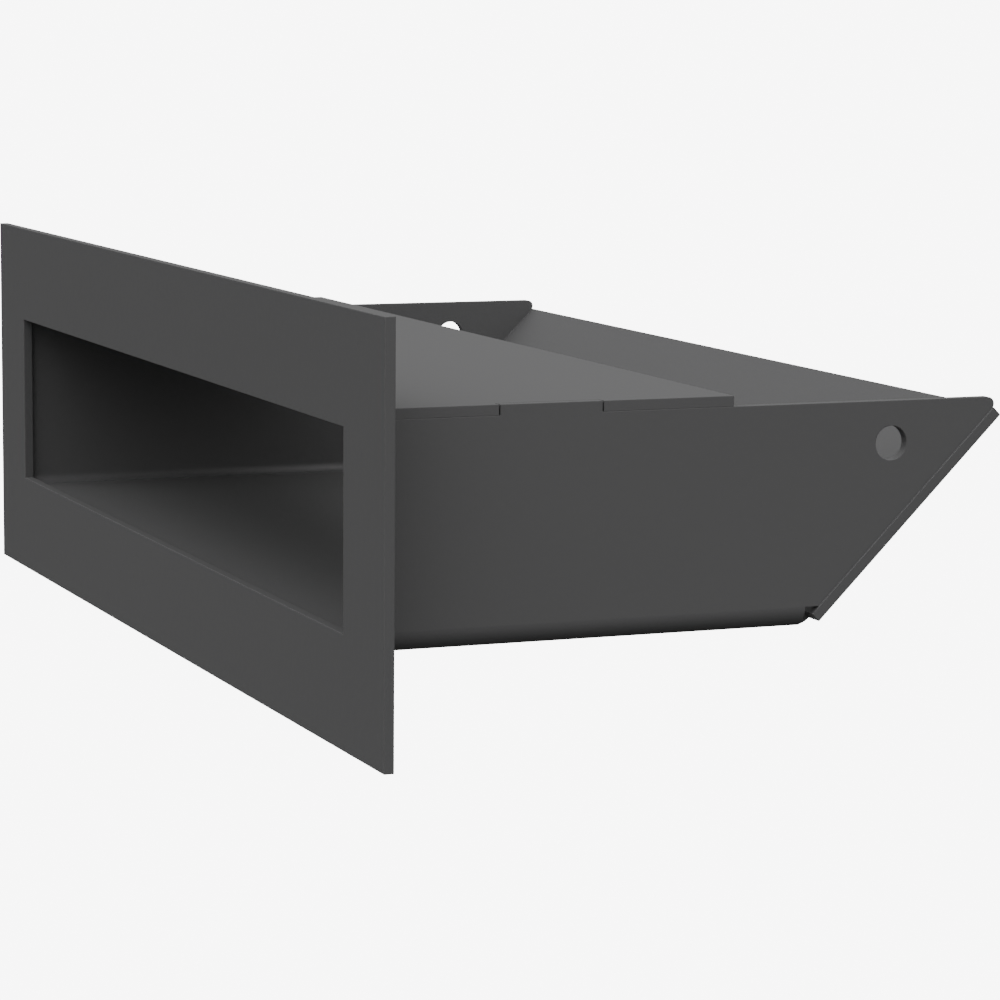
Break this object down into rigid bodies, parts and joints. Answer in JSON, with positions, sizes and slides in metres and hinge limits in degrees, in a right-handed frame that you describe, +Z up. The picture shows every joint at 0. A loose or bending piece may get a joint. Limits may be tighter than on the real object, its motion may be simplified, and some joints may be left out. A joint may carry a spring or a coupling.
{
  "type": "warm-air vent",
  "caption": "Built-in sheet-steel warm-air vent: a flat frame with a wide slot in front of a scoop-shaped duct that takes in air from above at the rear.",
  "frame": {"origin": "centre of the front frame's rear face, which lies on the finished wall", "axes": "+Y into the wall, +Z up, +X to the right of someone facing the vent from the room"},
  "size_m": [0.2, 0.0982, 0.06],
  "materials": {
    "graphite_powder_coat": "fine matt powder coat, graphite grey",
    "coated_weld": "weld bead under the same graphite powder coat"
  },
  "bodies": {
    "root": {"front_frame": "graphite_powder_coat", "duct_tray": "graphite_powder_coat", "top_panel": "graphite_powder_coat", "frame_welds": "coated_weld", "panel_welds": "coated_weld", "back_welds": "coated_weld"}
  },
  "joints": []
}
